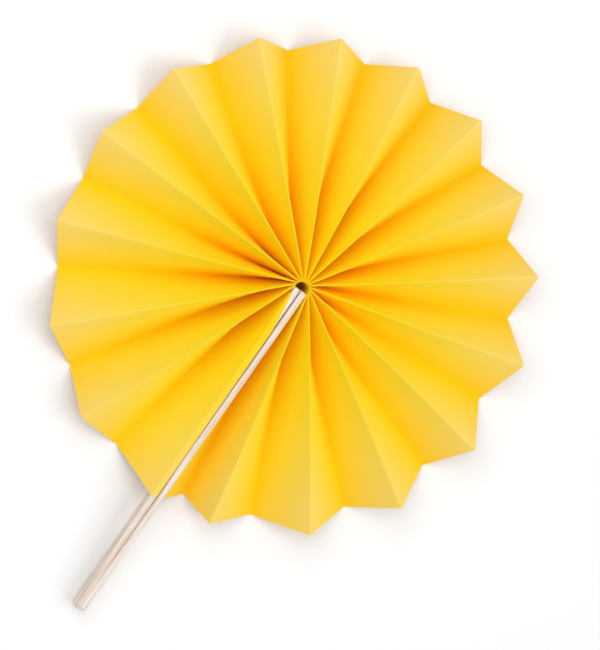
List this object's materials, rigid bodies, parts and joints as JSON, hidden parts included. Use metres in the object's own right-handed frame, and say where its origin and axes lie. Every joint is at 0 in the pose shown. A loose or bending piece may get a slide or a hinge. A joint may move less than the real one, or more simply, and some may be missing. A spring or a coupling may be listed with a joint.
{
  "type": "paper fan rosette",
  "caption": "Round accordion-pleated yellow paper rosette opened to a full circle, its ends glued to a pair of wooden slats that form the handle.",
  "frame": {"origin": "hub axis on the plane the back creases rest on", "axes": "+Z out of the front along the hub axis, -Y along the handle, +X to the right seen from the front with the handle down"},
  "size_m": [0.1991, 0.2542, 0.025],
  "materials": {
    "yellow_paper": "matt, smooth",
    "pale_wood": "bare, sanded",
    "brass_wire": "drawn, satin"
  },
  "bodies": {
    "root": {"pleated_sheet": "yellow_paper", "slat_left": "pale_wood", "slat_right": "pale_wood", "hub_wire": "brass_wire"}
  },
  "joints": []
}
